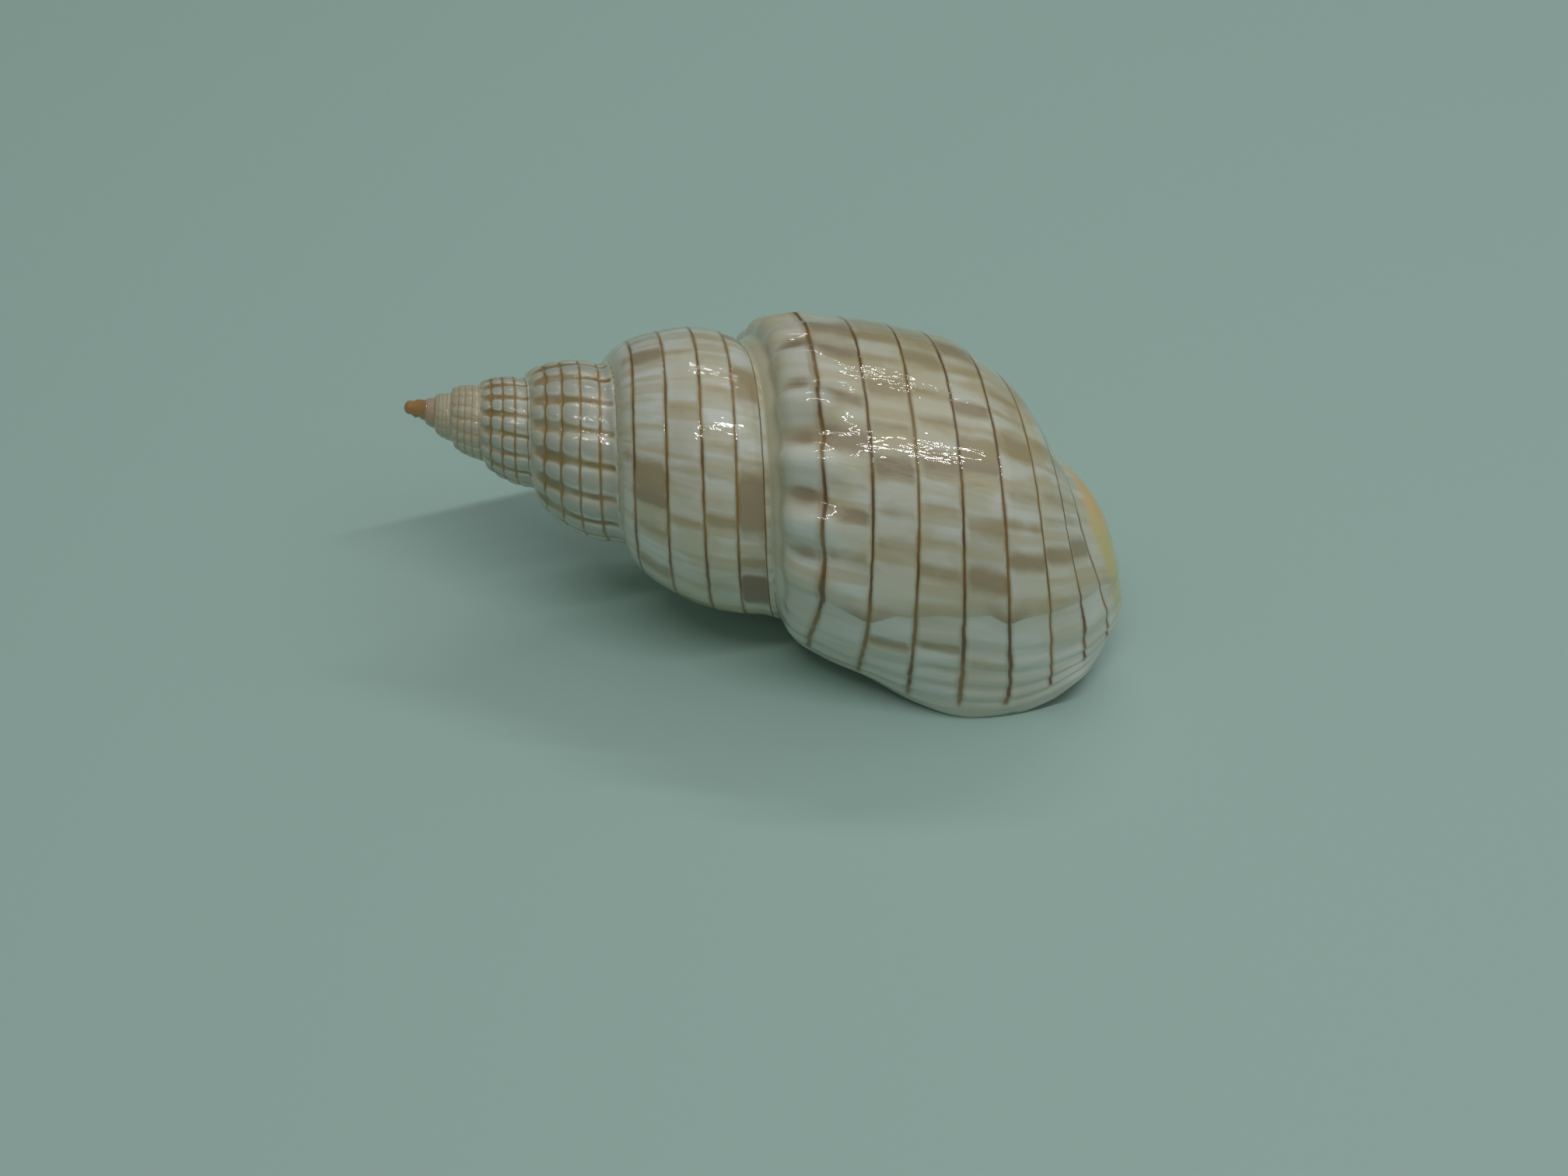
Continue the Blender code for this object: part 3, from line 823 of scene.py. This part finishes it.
# %% [markdown]
# ## The ground colour
# The shell is greyish white to cream, with soft clouds of tan stretched along the growing edge like flames.
# Noise whose turn is scaled up far more than its position gives such flames, and a ramp sharpens them.
# Other tan bars stop at the brown lines, so their noise is the same across each strip between two lines.

# %% White, cream and tan
WHITE = (0.75, 0.78, 0.72, 1.0)
CREAM = (0.66, 0.61, 0.42, 1.0)
TAN = (0.53, 0.43, 0.22, 1.0)
GREY_BROWN = (0.35, 0.275, 0.175, 1.0)
DARK_BROWN = (0.24, 0.16, 0.08, 1.0)


def bars(turn_scale, seed):
    """Noise that is the same across each strip between two lines."""
    strip = calc("ADD", calc("FLOOR", position), ramp(calc("FRACT", position), 0.9, 1.0))
    spot = add("ShaderNodeCombineXYZ")
    feed(spot.inputs[0], calc("MULTIPLY", turn, turn_scale))
    feed(spot.inputs[1], calc("MULTIPLY", strip, 0.8))
    spot.inputs[2].default_value = seed
    made = add("ShaderNodeTexNoise")
    feed(made.inputs["Vector"], spot.outputs[0])
    made.inputs["Scale"].default_value = 1.0
    made.inputs["Detail"].default_value = 1.0
    return made.outputs["Fac"]


upper = calc("MULTIPLY", ramp(turn, -0.09, -0.16), last_whorl)
creamy = ramp(noise(9.0, 0.5, 3.0), 0.38, 0.62, 0.05, 0.6)
creamy = calc("ADD", creamy, calc("MULTIPLY", upper, 0.35), clamp=True)
ground = blend(creamy, WHITE, CREAM)
flames = ramp(noise(34.0, 0.6, 11.0), 0.48, 0.60)
ground = blend(calc("MULTIPLY", flames, ramp(upper, 0.0, 1.0, 0.3, 0.5)), ground, TAN)
ground = blend(ramp(bars(52.0, 13.0), 0.49, 0.60, 0.0, 0.45), ground, TAN)
streaks = ramp(noise(110.0, 0.5, 19.0, detail=1.0), 0.50, 0.70, 0.0, 0.12)
ground = blend(streaks, ground, TAN)

# %% [markdown]
# ## The blotches
# The strength and shade of the blotches are kept on the mesh. The spots between the knobs are partly
# painted shadow. A little noise frays their ends.

# %% Colour the blotches
frayed = calc("ADD", stain_and_knob_shadow, calc("MULTIPLY", calc("SUBTRACT", noise(70.0, 1.5, 29.0), 0.5), 0.35))
blotch = calc("MULTIPLY", ramp(frayed, 0.05, 0.5), ramp(stain_and_knob_shadow, 0.0, 0.12))
blotch_colour = blend(shade, TAN, GREY_BROWN)
# Dark brown for the darkest blotches and for the spots between the knobs, which are partly painted shadow.
blotch_colour = blend(ramp(shade, 1.0, 1.4), blotch_colour, DARK_BROWN)
ground = blend(calc("MULTIPLY", blotch, 0.95), ground, blotch_colour)

# %% [markdown]
# ## Gaps between the ribs and knobs
# On the spire the crests are white and the gaps between them olive to brown, widest near the suture, and
# the strip along each suture is cream. The height kept on the mesh tells crest from gap.

# %% Colour the gaps
OLIVE = (0.31, 0.25, 0.11, 1.0)
RUST = (0.30, 0.19, 0.07, 1.0)
RIB_WHITE = (0.50, 0.51, 0.43, 1.0)
reach = ramp(position, 1.8, 3.4)
rib_gap = calc("MULTIPLY", ramp(crest, calc("SUBTRACT", 0.2, calc("MULTIPLY", reach, 0.3)), -0.4), early)
gap_colour = blend(ramp(noise(6.0, 0.3, 43.0), 0.45, 0.6), OLIVE, RUST)
ground = blend(calc("MULTIPLY", ramp(crest, -0.1, 0.3), early), ground, RIB_WHITE)
rib_gap = calc("MULTIPLY", rib_gap, ramp(turn, -3.0, -4.5, 1.0, 0.45))
ground = blend(calc("MULTIPLY", rib_gap, ramp(noise(11.0, 0.5, 47.0), 0.3, 0.6, 0.6, 1.0)), ground, gap_colour)
knob_top = calc("MULTIPLY", ramp(crest, 0.35, 0.8), last_whorl)
ground = blend(calc("MULTIPLY", knob_top, 0.5), ground, WHITE)
ground = blend(ramp(position, 0.9, 0.15, 0.0, 0.85), ground, CREAM)

# %% [markdown]
# ## The rest line
# Where growth once stopped, the old edge shows as a scalloped line. The shell before it darkens to brown,
# most of all beside the second and fifth lines, and the shell after it is clean white.

# %% Draw the rest line


def near_line(number, reach):
    return ramp(calc("ABSOLUTE", calc("SUBTRACT", position, number)), reach, 0.1)


BROWN = (0.33, 0.22, 0.10, 1.0)
strong = calc("ADD", near_line(1.9, 0.8), near_line(5.0, 0.7), clamp=True)
old_edge = calc("MULTIPLY", ramp(rest, -0.022, 0.0), ramp(rest, 0.0012, 0.0002))
old_edge = calc("MULTIPLY", old_edge, calc("ADD", calc("MULTIPLY", strong, 0.5), 0.22))
ground = blend(calc("MULTIPLY", old_edge, ramp(position, 0.8, 1.2)), ground, BROWN)
ground = blend(calc("MULTIPLY", ramp(rest, 0.0, 0.004, 0.0, 0.4), ramp(stain_and_knob_shadow, 0.2, 0.05)), ground, WHITE)

# %% [markdown]
# ## The brown spiral lines
# The lines are the mark of this shell: thin brown threads that run round every whorl and stop just short of
# the lip. Each lies on a whole number of the line count, so the distance to the nearest whole number is the
# distance to a line. A slow noise makes them waver a little, and they turn golden where they thin out.

# %% Draw the lines
LINE_BROWN = (0.130, 0.055, 0.008, 1.0)
LINE_GOLD = (0.33, 0.20, 0.05, 1.0)
LINE_HALF_WIDTH = 0.030

wavered = calc("ADD", position, calc("MULTIPLY", calc("SUBTRACT", noise(55.0, 0.7, 5.0), 0.5), 0.05))
nearest = calc("ROUND", wavered)
off_line = calc("ABSOLUTE", calc("SUBTRACT", wavered, nearest))
width = calc("MULTIPLY", calc("EXPONENT", calc("MULTIPLY", turn, -0.22)), LINE_HALF_WIDTH)
width = calc("MULTIPLY", width, ramp(turn, -0.06, 0.06, 1.0, 1.5))
width = calc("MULTIPLY", width, ramp(noise(30.0, 0.9, 41.0), 0.3, 0.7, 0.8, 1.25))
line = calc("MULTIPLY", ramp(off_line, calc("MULTIPLY", width, 1.5), calc("MULTIPLY", width, 0.4)), drawn)
halo = calc("MULTIPLY", ramp(off_line, calc("MULTIPLY", width, 3.2), width), drawn)
golden = ramp(noise(14.0, 0.9, 61.0), 0.42, 0.6, 0.0, 0.7)
golden = calc("ADD", golden, ramp(turn, -0.75, -1.9, 0.0, 0.8), clamp=True)
line_colour = blend(golden, LINE_BROWN, LINE_GOLD)
ground = blend(calc("MULTIPLY", halo, 0.35), ground, LINE_GOLD)
ground = blend(calc("MULTIPLY", line, 0.93), ground, line_colour)

# %% [markdown]
# ## The spire's tip, the canal and the lip
# The first whorls are pinkish brown with an orange-brown tip, the ridge beside the canal is yellow to
# orange, and the last two millimetres of the lip are creamy white.

# %% Tip, canal and lip
TIP_CREAM = (0.56, 0.47, 0.30, 1.0)
TIP_PINK = (0.52, 0.36, 0.24, 1.0)
TIP_ORANGE = (0.44, 0.24, 0.08, 1.0)
LIP_WHITE = (0.74, 0.70, 0.56, 1.0)
CANAL_YELLOW = (0.68, 0.62, 0.30, 1.0)
CANAL_ORANGE = (0.74, 0.55, 0.28, 1.0)
ground = blend(ramp(turn, -3.4, -4.4, 0.0, 0.75), ground, TIP_CREAM)
ground = blend(ramp(turn, -5.4, -5.6, 0.0, 0.95), ground, TIP_PINK)
ground = blend(ramp(turn, -6.8, -7.2), ground, TIP_ORANGE)
canal_colour = blend(ramp(turn, -0.14, -0.08), CANAL_ORANGE, CANAL_YELLOW)
on_keel = calc("MULTIPLY", ramp(position, 8.3, 8.55), ramp(turn, 0.06, 0.0))
ground = blend(on_keel, ground, canal_colour)
ground = blend(ramp(turn, 0.12, 0.16, 0.0, 0.8), ground, LIP_WHITE)

# %% [markdown]
# ## The glazed inside
# Inside the lip the glaze is ochre, deepest a little way in, and the parietal wall is cream with a touch of
# olive. It has no lines, because the glaze covers them.

# %% Colour the inside
OCHRE = (0.52, 0.38, 0.14, 1.0)
OLIVE_CREAM = (0.64, 0.58, 0.40, 1.0)
inside_colour = blend(ramp(noise(6.0, 0.4, 71.0), 0.35, 0.65), OCHRE, OLIVE_CREAM)
ground = blend(coat, ground, inside_colour)

# %% [markdown]
# ## Gloss and growth lines
# The surface is as glossy as glazed china, with a fine grain of growth lines that breaks each highlight
# into threads along the axis. The grain is far finer than the mesh, so it is a bump, and it bends only the
# clear coat, so the colours below it stay even. A slower bump shapes the colours' own surface.

# %% Shade the surface
surface = add("ShaderNodeBsdfPrincipled")
feed(surface.inputs["Base Color"], ground)
slow_grain = noise(70.0, 0.9, 89.0)
height = calc("SUBTRACT", slow_grain, calc("MULTIPLY", line, 0.3))
bump = add("ShaderNodeBump")
bump.inputs["Strength"].default_value = 0.5
bump.inputs["Distance"].default_value = 0.08 * MM
feed(bump.inputs["Height"], calc("MULTIPLY", height, ramp(coat, 0.2, 0.9, 1.0, 0.2)))
feed(surface.inputs["Normal"], bump.outputs[0])
surface.inputs["Roughness"].default_value = 0.42
grain = noise(210.0, 2.6, 83.0, detail=1.0)
grain = calc("MULTIPLY", grain, ramp(turn, -1.1, -0.6, 0.4, 1.0))
grain_bump = add("ShaderNodeBump")
grain_bump.inputs["Strength"].default_value = 1.0
grain_bump.inputs["Distance"].default_value = 0.024 * MM
feed(grain_bump.inputs["Height"], calc("MULTIPLY", grain, ramp(coat, 0.2, 0.9, 1.0, 0.15)))
feed(grain_bump.inputs["Normal"], bump.outputs[0])
feed(surface.inputs["Coat Normal"], grain_bump.outputs[0])
surface.inputs["Coat Weight"].default_value = 1.0
surface.inputs["Coat Roughness"].default_value = 0.03
surface.inputs["Specular IOR Level"].default_value = 0.25
surface.inputs["IOR"].default_value = 1.53
output = add("ShaderNodeOutputMaterial")
feed(output.inputs["Surface"], surface.outputs[0])
shell_data.materials.append(shell_material)

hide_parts("shell")
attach(shell, "root")
print("shell material has", len(tree.nodes), "nodes")

# %% [markdown]
# ## Floor
# A plain pale floor carries the shell. One quad is enough for it, as long as it is larger than the view.

# %% Lay the floor
FLOOR_HALF = 0.6
FLOOR_GREEN = (0.45, 0.63, 0.58, 1.0)
floor_mesh = bmesh.new()
bmesh.ops.create_grid(floor_mesh, x_segments=1, y_segments=1, size=FLOOR_HALF)
floor_data = bpy.data.meshes.new("floor")
floor_mesh.to_mesh(floor_data)
floor_mesh.free()
floor = bpy.data.objects.new("floor", floor_data)
bpy.context.scene.collection.objects.link(floor)
floor_material = bpy.data.materials.new("pale_floor")
floor_material.use_nodes = True
floor_shader = floor_material.node_tree.nodes["Principled BSDF"]
floor_shader.inputs["Base Color"].default_value = FLOOR_GREEN
floor_shader.inputs["Roughness"].default_value = 0.6
floor_data.materials.append(floor_material)

# %% [markdown]
# ## Camera
# The shell is seen from the front and well above, about 45 degrees, through a lens of about 51 mm on a full
# frame. The camera is placed from the tip of the spire.

# %% Set up the camera
CAMERA_FROM_TIP = Vector((23.673, -81.945, 71.460)) * MM
AIM_FROM_TIP = Vector((18.430, 2.145, -13.990)) * MM
CAMERA_ROLL = math.radians(-0.63)
PICTURE_WIDTH = 2016
FOCAL_PIXELS = 2867.3
camera_data = bpy.data.cameras.new("camera")
camera_data.sensor_width = 36.0
camera_data.lens = FOCAL_PIXELS * 36.0 / PICTURE_WIDTH
camera_data.clip_start = 0.005
camera = bpy.data.objects.new("camera", camera_data)
bpy.context.scene.collection.objects.link(camera)
camera.location = tip_place + CAMERA_FROM_TIP
facing = (AIM_FROM_TIP - CAMERA_FROM_TIP).to_track_quat("-Z", "Y")
camera.rotation_mode = "QUATERNION"
camera.rotation_quaternion = facing @ Quaternion((0.0, 0.0, 1.0), CAMERA_ROLL)
bpy.context.scene.camera = camera
print("lens", round(camera_data.lens, 1), "mm")

# %% [markdown]
# ## Light
# A large soft box above, a little to the right, gives the long gentle shading. Two long thin strips give
# the broken highlights, each placed in the direction that its highlight on the whorls points back to.

# %% Place the lights


def area_light(name, toward, distance, length, depth, power):
    """A rectangular light that faces the shell."""
    light = bpy.data.lights.new(name, "AREA")
    light.shape = "RECTANGLE"
    light.size, light.size_y = length, depth
    light.energy = power
    made = bpy.data.objects.new(name, light)
    made.location = Vector(toward).normalized() * distance
    made.rotation_mode = "QUATERNION"
    made.rotation_quaternion = (-made.location).to_track_quat("-Z", "Y")
    bpy.context.scene.collection.objects.link(made)


area_light("overhead", (0.50, 0.05, 1.0), 0.45, 0.50, 0.50, 0.40)
area_light("front_strip", (0.10, -0.27, 0.93), 0.40, 0.34, 0.007, 0.36)
area_light("back_strip", (0.05, 0.55, 0.79), 0.40, 0.24, 0.0055, 0.13)
world = bpy.data.worlds.new("studio")
world.use_nodes = True
world.node_tree.nodes["Background"].inputs["Color"].default_value = (0.80, 0.95, 0.88, 1.0)
world.node_tree.nodes["Background"].inputs["Strength"].default_value = 0.14
bpy.context.scene.world = world
bpy.context.scene.view_settings.view_transform = "Standard"
